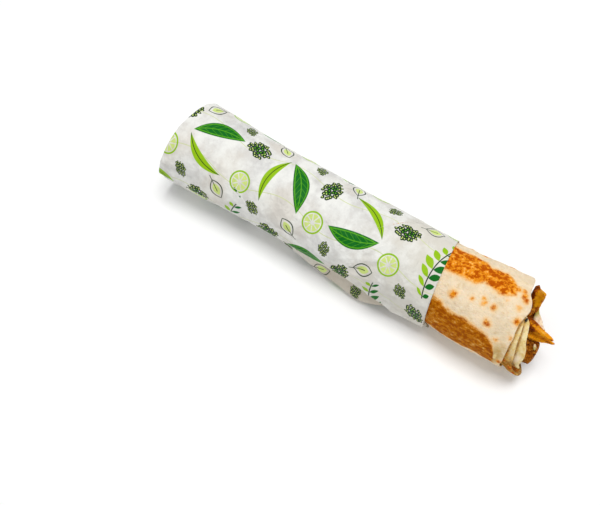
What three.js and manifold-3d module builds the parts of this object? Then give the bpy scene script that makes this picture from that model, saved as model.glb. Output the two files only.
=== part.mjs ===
// A doner kebab wrap lying on its side: a filled flatbread roll, three quarters of it in a
// printed paper sleeve that is tucked shut at one end.
// Millimetres, +Z up, +X along the roll towards the open end, origin under the middle.
import * as THREE from 'three';
import { mergeVertices } from 'three/addons/utils/BufferGeometryUtils.js';
import Module from 'manifold-3d';

const wasm = await Module();
wasm.setup();

const degrees = THREE.MathUtils.degToRad;
const { lerp, smoothstep } = THREE.MathUtils;
const TURN = 2 * Math.PI;

// Driving dimensions. "Along" is counted from the sleeve's shut end. Angles go round the
// roll: 0 points along +Y, 90 degrees is the top, 180 degrees points along -Y.
const PAPER_LENGTH = 161.4;
const BREAD_LENGTH = 201.7;
const ROLL_RADIUS = 22;
const FOLDED_END = { extra: 2.1, spread: 34 };
const SWELL = { extra: 1.8, from: PAPER_LENGTH + 2.5, to: PAPER_LENGTH + 24 };
const THICK_RISE = 0.7;
const FLOOR_RADIUS = 21.3;
const CLEARANCE = 0.35;

const PAPER_THICKNESS = 0.4;
const PAPER_PITCH = PAPER_THICKNESS + CLEARANCE;
const PAPER_INNER_ANGLE = degrees(118);
const PAPER_CLIMB = degrees(40);
const PAPER_EDGE_ANGLES = [degrees(174), degrees(207)];
const PAPER_END_SLANT = { y: 3.1, z: 1.8 };
const PAPER_MOUTH_SLANT = { y: 2.2, z: 1.5 };
const PAPER_STEPS = { along: 14, round: 62 };
const PAPER_WRINKLE = { height: 0.35, round: 3, along: 17, skew: 9 };
const LOOSE_LIP = { along: 137, spread: 16, lift: 2.6, width: degrees(26) };
const MOUTH_LIP = { along: 161, spread: 9, lift: 0.9 };
const TUCK_STEPS = { out: 3, round: 36 };
const TUCK_FOLDS = 6;
const TUCK_DEPTH = 1.1;
const TUCK_TWIST = 0.8;
const TUCK_THICKNESS = 0.8;

const BREAD_THICKNESS = 1.5;
const BREAD_PITCH = 1.8;
const BREAD_TURNS = 2.62;
const BREAD_SEAM_ANGLE = degrees(243);
const BREAD_CLIMB = degrees(60);
const BREAD_STEPS = { along: 12, round: 86 };
const HIDDEN_STEPS_SHARE = 0.25;
const BREAD_LUMP = { height: 0.3, long: 11, short: 8 };
const END_FAR_ANGLE = degrees(28);
const END_SLANT = 4.5;
const END_SLANT_PER_TURN = 4.9;
const END_LOBE = { angle: degrees(218), width: degrees(24), reach: 2.4 };
const END_FLARE = { angle: degrees(206), width: degrees(26), lift: 1.7, from: 0.5, to: 5 };

const FILLING_DEPTH = 2 * BREAD_PITCH + BREAD_THICKNESS + CLEARANCE;
const FILLING_STEPS = { along: 12, round: 32 };
const FILLING_DENT = { angle: degrees(218), width: degrees(30), depth: 4.5 };
const FILLING_START = TUCK_THICKNESS + TUCK_DEPTH + 3 * CLEARANCE;
const CORE_INSET = 0.6;
const CORE_FACE = { along: 196, slant: 11 };
const FACE_OPENING = 8;
const SHAVING_COUNT = 15;
const SHAVING_SINK = 3;
const SHAVING_SPREAD = 15.5;
const SHAVING_SIZE = { length: 22, width: 9.2, thickness: 4.6 };
const SHAVING_TILT = 1.1;
const CRAGS = { coarse: 0.16, fine: 0.1 };
const SHAVING_SEED = 20;
const GOLDEN_ANGLE = 137.5;

const STICK_STEPS = { along: 6, across: 2 };
const STICK_EDGE_ROUNDING = 0.1;
const STICK_TAPER_START = 0.62;
const SPECK = { along: 206.6, angle: degrees(100), depth: 1.9, length: 1.4, width: 2.2, height: 1.3 };
const REST_FACE_HEIGHT = FLOOR_RADIUS + PAPER_PITCH;

const COLOURS = {
  paper: 0xdedce0,
  bread: 0xe3cda6,
  meat: 0x6b3413,
  fries: 0xc27a1e,
  onion: 0xd9cf9c,
  speck: 0x16110d,
};

// A smooth hump of height 1 at the centre, fading to 0 over its width.
function hump(value, centre, width) {
  const offset = (value - centre) / width;
  return Math.exp(-offset * offset);
}

// The same for an angle, counted the short way round.
function angleHump(angle, centre, width) {
  const offset = Math.atan2(Math.sin(angle - centre), Math.cos(angle - centre));
  return hump(offset, 0, width);
}

// The bread is thickest at the shut end, where it is folded in, is held tight by the
// sleeve and swells again where it comes out.
function rollRadius(along) {
  const foldedEnd = FOLDED_END.extra * hump(along, 0, FOLDED_END.spread);
  const swell = SWELL.extra * smoothstep(along, SWELL.from, SWELL.to);
  return ROLL_RADIUS + foldedEnd + swell;
}

// A point at a depth under the bread's outer surface, with a lift where a layer stands
// off. Thick places lie higher, and every layer is pressed flat underneath, where the roll
// rests, at its own depth and with no lift.
function rollPoint(along, angle, depth, lift = 0) {
  const radius = rollRadius(along) - depth + lift;
  const rise = THICK_RISE * (rollRadius(along) - ROLL_RADIUS);
  const height = Math.max(radius * Math.sin(angle) + rise, depth - FLOOR_RADIUS);
  return new THREE.Vector3(along, radius * Math.cos(angle), height);
}

// Bends a geometry that fills a unit cube into its real shape, and merges its vertices.
function bend(geometry, place) {
  geometry.deleteAttribute('normal');
  geometry.deleteAttribute('uv');
  const merged = mergeVertices(geometry, 1e-6);
  const positions = merged.getAttribute('position');
  for (let i = 0; i < positions.count; i += 1) {
    const point = place(positions.getX(i) + 0.5, positions.getY(i) + 0.5, positions.getZ(i) + 0.5);
    positions.setXYZ(i, point.x, point.y, point.z);
  }
  return mergeVertices(merged, 1e-4);
}

// A slab whose width, height and depth become three directions of a rolled sheet.
function sheet(steps, place) {
  return bend(new THREE.BoxGeometry(1, 1, 1, steps.along, steps.round, 1), place);
}

// A round bar along the roll: place() gets the share along, the angle and the share of
// the radius.
function bar(steps, place) {
  const upright = new THREE.CylinderGeometry(0.5, 0.5, 1, steps.round, steps.along);
  const lying = upright.rotateZ(-Math.PI / 2);
  return bend(lying, (x, y, z) => {
    const radial = 2 * Math.hypot(y - 0.5, z - 0.5);
    return place(x, Math.atan2(z - 0.5, y - 0.5), radial);
  });
}

function toManifold(geometry) {
  const mesh = new wasm.Mesh({
    numProp: 3,
    vertProperties: new Float32Array(geometry.getAttribute('position').array),
    triVerts: new Uint32Array(geometry.getIndex().array),
  });
  return new wasm.Manifold(mesh);
}

function toGeometry(manifold) {
  const mesh = manifold.getMesh();
  const geometry = new THREE.BufferGeometry();
  geometry.setAttribute('position', new THREE.BufferAttribute(mesh.vertProperties, 3));
  geometry.setIndex(new THREE.BufferAttribute(mesh.triVerts, 1));
  return geometry;
}

// The main body of a solid, without the crumbs that cutting leaves.
function largest(manifold) {
  return manifold.decompose().reduce((a, b) => (a.volume() > b.volume() ? a : b));
}

// ---- Paper sleeve: one sheet wound one and a quarter times ----

function paperStart(angle) {
  return PAPER_END_SLANT.y * Math.cos(angle) + PAPER_END_SLANT.z * Math.sin(angle);
}

function paperMouth(angle) {
  return PAPER_LENGTH - PAPER_MOUTH_SLANT.y * Math.cos(angle) - PAPER_MOUTH_SLANT.z * Math.sin(angle);
}

function paperEdgeAngle(along) {
  return lerp(...PAPER_EDGE_ANGLES, THREE.MathUtils.clamp(along / PAPER_LENGTH, 0, 1)) + TURN;
}

// The sheet climbs one pitch just before it passes over its own inner edge.
function paperHeight(angle) {
  const overlap = PAPER_INNER_ANGLE + TURN;
  return CLEARANCE + PAPER_PITCH * smoothstep(angle, overlap - PAPER_CLIMB, overlap);
}

// The free edge stands off a little, most of all at one loose place and at the mouth.
function paperLift(along, angle) {
  const looseness = smoothstep(angle, paperEdgeAngle(along) - LOOSE_LIP.width, paperEdgeAngle(along));
  const lip = LOOSE_LIP.lift * hump(along, LOOSE_LIP.along, LOOSE_LIP.spread);
  const mouth = MOUTH_LIP.lift * hump(along, MOUTH_LIP.along, MOUTH_LIP.spread);
  return looseness * (lip + mouth);
}

function paperWrinkle(along, angle) {
  const { height, round, along: long, skew } = PAPER_WRINKLE;
  const waves = Math.sin(round * angle + along / long) * Math.sin(along / skew - angle);
  return height * (0.5 + 0.5 * waves);
}

function paperTube() {
  return sheet(PAPER_STEPS, (u, v, w) => {
    const nearEdge = lerp(PAPER_INNER_ANGLE, paperEdgeAngle(u * PAPER_LENGTH), v);
    const along = lerp(paperStart(nearEdge), paperMouth(nearEdge), u);
    const height = paperHeight(nearEdge) + (1 - w) * PAPER_THICKNESS;
    const lift = paperWrinkle(along, nearEdge) + paperLift(along, nearEdge);
    return rollPoint(along, nearEdge, -height, lift);
  });
}

// The shut end: the sheet's rim folded in over the end, one fold lapping the next.
function tuckFold(angle, share) {
  const lap = (angle / TURN) * TUCK_FOLDS + TUCK_TWIST * (1 - share);
  return TUCK_DEPTH * (lap - Math.floor(lap)) * share;
}

function paperTuck() {
  const radii = Array.from({ length: TUCK_STEPS.out + 1 }, (_, ring) => ring / TUCK_STEPS.out / 2);
  const under = radii.map((radius) => new THREE.Vector2(radius, -0.5));
  const over = radii.map((radius) => new THREE.Vector2(radius, 0.5)).reverse();
  const disc = new THREE.LatheGeometry([...under, ...over], TUCK_STEPS.round);
  return bend(disc.rotateZ(-Math.PI / 2), (x, y, z) => {
    const share = 2 * Math.hypot(y - 0.5, z - 0.5);
    const angle = Math.atan2(z - 0.5, y - 0.5);
    const turnedOn = (angle - PAPER_INNER_ANGLE + 2 * TURN) % TURN;
    const sheetAngle = PAPER_INNER_ANGLE + turnedOn;
    const middleDepth = -paperHeight(sheetAngle) - PAPER_THICKNESS / 2;
    const edge = rollPoint(0, angle, middleDepth, paperWrinkle(0, sheetAngle));
    const along = share * paperStart(angle) + tuckFold(angle, share) + x * TUCK_THICKNESS;
    return new THREE.Vector3(along, share * edge.y, share * edge.z);
  });
}

function paperWrap() {
  return toGeometry(toManifold(paperTube()).add(toManifold(paperTuck())));
}

// ---- Flatbread: one sheet rolled up from a seam underneath ----

function breadDepth(turns) {
  const whole = Math.floor(turns);
  return BREAD_PITCH * (whole + smoothstep(turns - whole, 1 - BREAD_CLIMB / TURN, 1));
}

// Inner layers stick out farther, most on the -Y side, and end in a rounded lobe.
function breadEnd(angle, turns) {
  const nearness = (1 - Math.cos(angle - END_FAR_ANGLE)) / 2;
  const lobe = END_LOBE.reach * angleHump(angle, END_LOBE.angle, END_LOBE.width);
  return BREAD_LENGTH + (END_SLANT + END_SLANT_PER_TURN * turns) * nearness + lobe;
}

function breadStart(angle) {
  return paperStart(angle) + TUCK_THICKNESS + TUCK_DEPTH + 2 * CLEARANCE;
}

// A few long steps inside the sleeve, and short ones where the food shows.
function unevenShare(share) {
  const sleeveShare = (PAPER_LENGTH - 1) / BREAD_LENGTH;
  if (share < HIDDEN_STEPS_SHARE) {
    return (share / HIDDEN_STEPS_SHARE) * sleeveShare;
  }
  return lerp(sleeveShare, 1, (share - HIDDEN_STEPS_SHARE) / (1 - HIDDEN_STEPS_SHARE));
}

function breadLump(along, angle) {
  const shown = smoothstep(along, PAPER_LENGTH + 3, PAPER_LENGTH + 12);
  const broad = Math.sin(2 * angle + along / BREAD_LUMP.long);
  const fine = Math.sin(5 * angle - along / BREAD_LUMP.short);
  return BREAD_LUMP.height * shown * (broad + fine);
}

// Past the end of the layer outside it, a layer opens outwards on the -Y side.
function breadFlare(along, angle, turns) {
  let lift = 0;
  for (let outer = turns - 1; outer > 0; outer -= 1) {
    const pastOuter = along - breadEnd(angle, outer);
    lift += END_FLARE.lift * smoothstep(pastOuter, END_FLARE.from, END_FLARE.to);
  }
  return lift * angleHump(angle, END_FLARE.angle, END_FLARE.width);
}

function flatbread() {
  return sheet(BREAD_STEPS, (u, v, w) => {
    const turns = v * BREAD_TURNS;
    const angle = BREAD_SEAM_ANGLE - turns * TURN;
    const along = lerp(breadStart(angle), breadEnd(angle, turns), unevenShare(u));
    const depth = breadDepth(turns) + (1 - w) * BREAD_THICKNESS;
    const lift = breadLump(along, angle) + breadFlare(along, angle, turns);
    return rollPoint(along, angle, depth, lift);
  });
}

// ---- Filling ----

// A stick between two points, with a square section that narrows to a share of its
// width at the far end. A margin makes the room that a neighbour leaves round it.
function stick({ from, to, width, height, tip, bow, margin = 0 }) {
  const axis = to.clone().sub(from);
  const length = axis.length();
  const forward = axis.normalize();
  const side = new THREE.Vector3(0, 0, 1).cross(forward).normalize();
  const up = forward.clone().cross(side);
  const { along, across } = STICK_STEPS;
  return bend(new THREE.BoxGeometry(1, 1, 1, along, across, across), (x, y, z) => {
    const tapering = Math.max(0, (x - STICK_TAPER_START) / (1 - STICK_TAPER_START));
    const narrowing = lerp(1, tip, tapering);
    const rounding = 1 - STICK_EDGE_ROUNDING * Math.abs(2 * y - 1) * Math.abs(2 * z - 1);
    const arch = bow * 4 * x * (1 - x);
    return from
      .clone()
      .addScaledVector(forward, lerp(-margin, length + margin, x))
      .addScaledVector(side, (y - 0.5) * (width * narrowing * rounding + 2 * margin))
      .addScaledVector(up, (z - 0.5) * (height * narrowing * rounding + 2 * margin) + arch);
  });
}

// A place in the filling, at a radius from the roll's middle line.
function inRoll(along, angleInDegrees, radius) {
  const angle = degrees(angleInDegrees);
  return new THREE.Vector3(along, radius * Math.cos(angle), radius * Math.sin(angle));
}

const STICKS = {
  fry_across: {
    from: inRoll(206.1, 45, 22.2), to: inRoll(207.2, 21, 4.6),
    width: 6.2, height: 6.2, tip: 0.85, bow: 0, slot: 'fries',
  },
  fry_pointed_upper: {
    from: inRoll(188, 53, 11.2), to: inRoll(223.8, 108, 10),
    width: 5.6, height: 4.4, tip: 0.14, bow: 0, slot: 'fries',
  },
  fry_pointed_lower: {
    from: inRoll(188, 228, 1.8), to: inRoll(225.2, 108, 5.6),
    width: 5.6, height: 4.2, tip: 0.14, bow: 0, slot: 'fries',
  },
  onion_strip: {
    from: inRoll(210.2, 36, 11), to: inRoll(216, 79, 7.4),
    width: 1.1, height: 3.4, tip: 0.4, bow: -0.6, slot: 'onion',
  },
  onion_bit: {
    from: inRoll(216.8, 148, 7.6), to: inRoll(218.2, 162, 9.4),
    width: 1.6, height: 1.2, tip: 0.6, bow: 0.3, slot: 'onion',
  },
};

// Repeatable random numbers between 0 and 1.
function dice(seed) {
  let state = seed;
  return () => {
    state = (state * 16807) % 2147483647;
    return state / 2147483647;
  };
}

// A craggy flat lump, turned at random but lying mostly across the roll.
function shaving(centre, random) {
  const lean = () => (random() - 0.5) * SHAVING_TILT;
  const turn = new THREE.Euler(random() * TURN, lean(), lean());
  const phase = random() * TURN;
  const { length, width, thickness } = SHAVING_SIZE;
  return bend(new THREE.IcosahedronGeometry(0.5, 1), (x, y, z) => {
    const coarse = CRAGS.coarse * Math.sin(9 * x + phase) * Math.sin(8 * y - phase);
    const fine = CRAGS.fine * Math.sin(17 * z + phase);
    const point = new THREE.Vector3((x - 0.5) * length, (y - 0.5) * width, (z - 0.5) * thickness);
    return point.multiplyScalar(1 + coarse + fine).applyEuler(turn).add(centre);
  });
}

function charSpeck() {
  const centre = rollPoint(SPECK.along, SPECK.angle, SPECK.depth);
  return bend(new THREE.IcosahedronGeometry(0.5, 1), (x, y, z) => new THREE.Vector3(
    centre.x + (x - 0.5) * SPECK.length,
    centre.y + (y - 0.5) * SPECK.width,
    centre.z + (z - 0.5) * SPECK.height,
  ));
}

function fillingFace(angle, share) {
  const nearness = (1 - share * Math.cos(angle - END_FAR_ANGLE)) / 2;
  return CORE_FACE.along + CORE_FACE.slant * nearness;
}

function fillingDepth(along, angle) {
  const open = smoothstep(along, CORE_FACE.along - FACE_OPENING, CORE_FACE.along + FACE_OPENING);
  const dent = FILLING_DENT.depth * angleHump(angle, FILLING_DENT.angle, FILLING_DENT.width);
  return FILLING_DEPTH + dent * open;
}

// A solid inside the bread, as far under its inner side as inset says.
function fillingBar(start, end, inset) {
  return toManifold(bar(FILLING_STEPS, (share, angle, radial) => {
    const along = lerp(start(angle, radial), end(angle, radial), unevenShare(share));
    const depth = fillingDepth(along, angle) + inset;
    const wall = rollPoint(along, angle, depth, breadLump(along, angle));
    return new THREE.Vector3(along, radial * wall.y, radial * wall.z);
  }));
}

const THICK_SLICE = {
  from: inRoll(196, 198, 9), to: inRoll(218.9, 198, 9.8),
  width: 12, height: 8.4, tip: 0.95, bow: 0,
};

// Shavings spread over the filling's face by the golden angle, and one thick slice that
// reaches out of the roll, all inside the room that the bread leaves.
function donerShavings() {
  const random = dice(SHAVING_SEED);
  let shavings = toManifold(stick(THICK_SLICE));
  for (let i = 0; i < SHAVING_COUNT; i += 1) {
    const share = Math.sqrt((i + 0.5) / SHAVING_COUNT);
    const along = fillingFace(degrees(i * GOLDEN_ANGLE), share) - SHAVING_SINK * random();
    const centre = inRoll(along, i * GOLDEN_ANGLE, SHAVING_SPREAD * share);
    shavings = shavings.add(toManifold(shaving(centre, random)));
  }
  const roomStart = CORE_FACE.along - SHAVING_SIZE.length / 2;
  const roomEnd = CORE_FACE.along + SHAVING_SIZE.length;
  const room = fillingBar(() => roomStart, () => Math.max(roomEnd, THICK_SLICE.to.x + 1), 0);
  return shavings.intersect(room);
}

function donerMeat() {
  const start = (angle, radial) => radial * paperStart(angle) + FILLING_START;
  let meat = fillingBar(start, fillingFace, CORE_INSET).add(donerShavings());
  for (const piece of Object.values(STICKS)) {
    meat = meat.subtract(toManifold(stick({ ...piece, margin: CLEARANCE })));
  }
  return toGeometry(largest(meat));
}

// ---- Scene graph ----

const group = new THREE.Group();

function addPiece(name, geometry, slot, roughness) {
  const material = new THREE.MeshStandardMaterial({ color: COLOURS[slot], roughness, metalness: 0 });
  geometry.computeVertexNormals();
  const mesh = new THREE.Mesh(geometry, material);
  mesh.name = name;
  group.add(mesh);
}

addPiece('paper_wrap', paperWrap(), 'paper', 0.6);
addPiece('flatbread', flatbread(), 'bread', 0.8);
addPiece('doner_meat', donerMeat(), 'meat', 0.55);
addPiece('char_speck', charSpeck(), 'speck', 0.5);
for (const [name, piece] of Object.entries(STICKS)) {
  addPiece(name, stick(piece), piece.slot, 0.5);
}

const box = new THREE.Box3().setFromObject(group);
const middle = box.getCenter(new THREE.Vector3());
group.position.set(-middle.x, -middle.y, REST_FACE_HEIGHT);

export default group;
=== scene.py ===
# %% [markdown]
# # A doner kebab wrap
#
# The wrap is a flatbread rolled round meat, fries and onion, griddled, and pushed into a
# sleeve of printed greaseproof paper. Its solids come packed from CAD and are a fixed
# frame. Each step below makes one piece again as a fine surface, where its solid is, and
# gives it a finish. Sizes are in millimetres until a mesh is made.

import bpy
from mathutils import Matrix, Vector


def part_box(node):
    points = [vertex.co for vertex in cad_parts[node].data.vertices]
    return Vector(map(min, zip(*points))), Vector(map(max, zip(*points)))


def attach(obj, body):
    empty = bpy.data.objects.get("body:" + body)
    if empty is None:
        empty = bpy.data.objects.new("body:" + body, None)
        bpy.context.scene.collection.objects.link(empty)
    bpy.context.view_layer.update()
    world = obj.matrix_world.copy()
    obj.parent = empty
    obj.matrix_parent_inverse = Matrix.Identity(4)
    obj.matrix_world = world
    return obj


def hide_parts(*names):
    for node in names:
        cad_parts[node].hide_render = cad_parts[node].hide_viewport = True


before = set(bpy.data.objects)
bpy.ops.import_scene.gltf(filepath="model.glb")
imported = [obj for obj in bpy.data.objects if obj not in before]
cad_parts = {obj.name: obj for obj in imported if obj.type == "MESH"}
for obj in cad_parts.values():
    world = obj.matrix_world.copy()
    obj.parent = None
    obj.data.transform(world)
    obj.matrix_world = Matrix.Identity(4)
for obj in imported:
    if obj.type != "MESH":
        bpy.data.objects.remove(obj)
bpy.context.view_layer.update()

# %% Imports
from collections import namedtuple

import bmesh
import bpy
import numpy as np
from mathutils import Euler, Matrix, Vector

MM = 0.001
TURN = 2 * np.pi

# %% [markdown]
# ## The roll's own coordinates
#
# A point of a rolled sheet is easiest to describe by how far along the roll it is, at
# what angle round it, and how deep under the bread's outer surface. One function turns
# these into a place, so bread, paper and filling follow one form and can't cut through
# each other. Angle 0 is the far side (+Y), and a quarter turn is the top. Most uneven
# forms are bells: a size at an angle in degrees, which fades over a width.

# %% Roll sizes
PAPER_LENGTH = 161.4
BREAD_LENGTH = 201.7
ROLL_RADIUS = 22.0
FOLDED_EXTRA, FOLDED_SPREAD = 2.1, 34.0
SWELL_EXTRA, SWELL_SPAN = 1.8, (PAPER_LENGTH + 2.5, PAPER_LENGTH + 24)
THICK_RISE = 0.7
FLOOR_RADIUS = 21.3
CLEARANCE = 0.35

Bell = namedtuple("Bell", "degrees width size")


# %% From roll coordinates to a place
def smooth(value, low, high):
    """0 below low, 1 above high, and 3s^2 - 2s^3 of the share s between them."""
    share = np.clip((value - low) / (high - low), 0, 1)
    return share * share * (3 - 2 * share)


def hump(value, centre, width):
    """A bell curve: exp(-((value - centre) / width)^2)."""
    return np.exp(-(((value - centre) / width) ** 2))


def bell(angle, form):
    """A bell's size times the bell curve of an angle, counted the short way round."""
    apart = angle - np.radians(form.degrees)
    apart = np.arctan2(np.sin(apart), np.cos(apart))
    return form.size * hump(apart, 0, np.radians(form.width))


def roll_radius(along):
    """The tight radius, plus a bell at the folded end and a smooth swell past the sleeve."""
    folded = FOLDED_EXTRA * hump(along, 0, FOLDED_SPREAD)
    return ROLL_RADIUS + folded + SWELL_EXTRA * smooth(along, *SWELL_SPAN)


def roll_point(along, angle, depth, lift=0.0):
    """Place = (along, r cos angle, r sin angle + rise) with r = roll radius - depth + lift,
    and the height is never less than depth - floor radius, so each layer lies flat."""
    radius = roll_radius(along) - depth + lift
    rise = THICK_RISE * (roll_radius(along) - ROLL_RADIUS)
    height = np.maximum(radius * np.sin(angle) + rise, depth - FLOOR_RADIUS)
    return np.stack(np.broadcast_arrays(along, radius * np.cos(angle), height), axis=-1)


# %% [markdown]
# ## Uneven surfaces
#
# Food and paper are never even. Two recipes cover all of it: soft lumps, which blend
# random values between the corners of a lattice, and sharp-crested creases, which are
# straight folds with a length, a direction and a width.

# %% Lumps and creases
LATTICE = 16
CREASE = {"turn": 0.75, "length": (8, 30), "width": (0.8, 2.0), "height": (0.2, 1)}


def lumps(points, size, seed):
    """Random values from -1 to 1 on a lattice of the given size, blended between the
    eight corners round each point with the weights 3t^2 - 2t^3."""
    table = np.random.default_rng(seed).uniform(-1, 1, 3 * [LATTICE])
    cell = np.floor(points / size).astype(int)
    part = smooth(points / size - cell, 0, 1)
    total = np.zeros(points.shape[:-1])
    for corner in np.ndindex(2, 2, 2):
        weight = np.prod(np.where(corner, part, 1 - part), axis=-1)
        total += weight * table[tuple(np.moveaxis((cell + corner) % LATTICE, -1, 0))]
    return total


def rough(points, size, seed, octaves=3):
    """Lumps of a size, plus half as strong ones of half the size, and so on."""
    return sum(lumps(points, size / 2**i, seed + i) / 2**i for i in range(octaves))


def creases(across, along, reach, count, seed):
    """The sum of straight folds, each height * exp(-|distance| / width - (place / length)^2)."""
    random = np.random.default_rng(seed)
    total = np.zeros(np.broadcast(across, along).shape)
    for _ in range(count):
        middle = random.uniform(reach[0], reach[1])
        direction = random.normal(0, CREASE["turn"])
        length = random.uniform(*CREASE["length"])
        width = random.uniform(*CREASE["width"])
        height = random.choice([-1, 1]) * random.uniform(*CREASE["height"]) ** 2
        x, y = across - middle[0], along - middle[1]
        distance = x * np.cos(direction) - y * np.sin(direction)
        place = x * np.sin(direction) + y * np.cos(direction)
        total += height * np.exp(-np.abs(distance) / width - (place / length) ** 2)
    return total


# %% [markdown]
# ## From grids of points to closed meshes
#
# Two kinds of closed surface are made from grids of points. A slab has an outer and an
# inner grid joined round their rims, and suits sheets. A bar is one grid that is closed
# into a tube with a pole at each end, and suits sticks and lumps. Each face also gets its
# own place on a flat map, so that a finish can be stored as a picture without two faces
# sharing a pixel.


# %% Faces of slabs and bars
def grid_faces(index):
    """Quads between neighbours of a grid of point numbers."""
    a, b, c, d = index[:-1, :-1], index[1:, :-1], index[1:, 1:], index[:-1, 1:]
    return np.stack([a, b, c, d], axis=-1).reshape(-1, 4)


def grid_places(rows, columns, low, high):
    """Flat places of those quads, filling the map's width between two heights."""
    x, y = np.meshgrid(np.linspace(0, 1, columns), np.linspace(low, high, rows))
    flat = np.stack([x, y], axis=-1).reshape(-1, 2)
    return flat[grid_faces(np.arange(rows * columns).reshape(rows, columns))]


def with_pole(grid):
    """The grid with one more first row, all of it at the middle of the old first row."""
    return np.concatenate([np.broadcast_to(grid[0].mean(axis=0), grid[:1].shape), grid])


def with_poles(rings):
    """A pole at both ends, which also turns the order of the rings round."""
    return with_pole(with_pole(rings)[::-1])


def slab(outer, inner):
    """A closed slab: outer grid, inner grid turned over, and a rim round both."""
    rows, columns = outer.shape[:2]
    index = np.arange(rows * columns).reshape(rows, columns)
    rim = np.concatenate([index[0, :-1], index[:-1, -1], index[-1, :0:-1], index[:0:-1, 0]])
    following = np.roll(rim, -1)
    sides = np.stack([rim, following, following + index.size, rim + index.size], axis=-1)
    faces = [grid_faces(index), grid_faces(index)[:, ::-1] + index.size, sides]
    places = [grid_places(rows, columns, 0.0, 0.78),
              grid_places(rows, columns, 0.79, 0.97)[:, ::-1],
              grid_places(2, len(rim) + 1, 0.98, 1.0)[:, [0, 3, 2, 1]]]
    points = np.concatenate([outer.reshape(-1, 3), inner.reshape(-1, 3)])
    return points, np.concatenate(faces), np.concatenate(places)


def bar(rings):
    """A closed bar: quads round and along the rings, and a pole at each end."""
    rings = with_poles(rings)
    rows, columns = rings.shape[:2]
    index = np.arange(rows * columns).reshape(rows, columns)
    closed = np.concatenate([index, index[:, :1]], axis=1)
    return rings.reshape(-1, 3), grid_faces(closed), grid_places(rows, columns + 1, 0.0, 1.0)


def volume(points, faces):
    """The signed volume: positive when the faces point outwards."""
    a, b, c, d = (points[faces[:, i]] for i in range(4))
    first = np.einsum("ij,ij->i", a, np.cross(b, c))
    return (first + np.einsum("ij,ij->i", a, np.cross(c, d))).sum() / 6


# %% [markdown]
# ## Where the roll lies
#
# The sleeve's mouth gives the roll's place along X, and its underside the height. The
# sleeve is uneven on both sides, so the small speck on the bread, whose angle on the
# roll is known, gives the place sideways.

# %% Place of the middle line
PAPER_THICKNESS = 0.4
PAPER_PITCH = PAPER_THICKNESS + CLEARANCE
# How much farther the sleeve's rims reach on the near side, and on the underside.
PAPER_MOUTH_SLANT = (2.2, 1.5)
PAPER_END_SLANT = (3.1, 1.8)
SPECK_PLACE, SPECK_SIZE = (206.6, np.radians(100.5), 2.45), (1.4, 2.2, 1.9)

sleeve_low, sleeve_high = (np.array(corner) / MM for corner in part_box("paper_wrap"))
mouth_reach = PAPER_LENGTH + np.hypot(*PAPER_MOUTH_SLANT)
speck_middle = sum(np.array(corner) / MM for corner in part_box("char_speck")) / 2
speck_on_roll = roll_point(*SPECK_PLACE)
ROLL_ORIGIN = np.array([
    sleeve_high[0] - mouth_reach,
    (speck_middle - speck_on_roll)[1],
    sleeve_low[2] + FLOOR_RADIUS + PAPER_PITCH,
])
print("shut end and middle line, in mm:", ROLL_ORIGIN.round(3))


# %% From arrays to a finished piece
MERGE = 1e-7


def placed(name, data):
    """A new object in the scene, at the origin."""
    made = bpy.data.objects.new(name, data)
    bpy.context.scene.collection.objects.link(made)
    return made


def add_piece(name, parts, node, fields, material):
    """Joins (points, faces, places) parts into one mesh, with a bake map and the named
    vector fields. Points that coincide, at poles, become one. The mesh lies in its place
    in the row, and the piece is tied to the frame."""
    points = np.concatenate([part[0] for part in parts]) + ROLL_ORIGIN
    first, faces, places = 0, [], []
    for order, (own, quads, flat) in enumerate(parts):
        outwards = slice(None, None, 1 if volume(own, quads) > 0 else -1)
        faces.append(quads[:, outwards] + first)
        places.append((flat[:, outwards] + [0, order]) / [1, len(parts)])
        first += len(own)
    mesh = bpy.data.meshes.new(name)
    mesh.from_pydata((points * MM).tolist(), [], np.concatenate(faces).tolist())
    mesh.uv_layers.new(name="OFBake").data.foreach_set("uv", np.concatenate(places).ravel())
    for label, values in fields.items():
        attribute = mesh.attributes.new(label, "FLOAT_VECTOR", "POINT")
        attribute.data.foreach_set("vector", np.asarray(values, np.float32).ravel())
    shape = bmesh.new()
    shape.from_mesh(mesh)
    bmesh.ops.remove_doubles(shape, verts=shape.verts, dist=MERGE)
    shape.to_mesh(mesh)
    shape.free()
    mesh.shade_smooth()
    mesh.materials.append(material)
    piece = placed(name, mesh)
    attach(piece, "root")
    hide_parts(node)
    low, high = points.min(axis=0).round(1), points.max(axis=0).round(1)
    print(name, "has", len(mesh.polygons), "faces, from", low, "to", high, "mm")


# %% [markdown]
# ## Shader maths as expressions
#
# A finish is a formula: how brown, how rough and how high the surface is at each point.
# Written as nodes it is hard to read, so a small class lets a number socket be added,
# multiplied and compared like a number, and writes the Math nodes itself.


# %% A number socket that takes part in sums
def maths_node(operation):
    """A method that adds one Math node, for a field and perhaps another value."""
    return lambda field, *others: field.finish.maths(operation, field, *others)


class Field:
    """A number that changes over a surface. Sums and products of fields add Math nodes."""

    def __init__(self, finish, socket):
        self.finish = finish
        self.socket = socket

    __add__ = __radd__ = maths_node("ADD")
    __mul__ = __rmul__ = maths_node("MULTIPLY")
    __sub__ = maths_node("SUBTRACT")
    __truediv__ = maths_node("DIVIDE")
    __gt__ = maths_node("GREATER_THAN")
    __abs__ = maths_node("ABSOLUTE")
    at_least = maths_node("MAXIMUM")
    whole = maths_node("FLOOR")
    root = maths_node("SQRT")
    sine = maths_node("SINE")
    cosine = maths_node("COSINE")
    direction = maths_node("ARCTAN2")

    def __rsub__(self, other):
        return self.finish.maths("SUBTRACT", other, self)

    def ramp(self, start, end):
        """0 at start, 1 at end, smooth between them, and flat outside."""
        kind = {"interpolation_type": "SMOOTHSTEP"}
        return self.finish.node("MapRange", kind, {0: self, 1: start, 2: end})[0]


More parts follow.
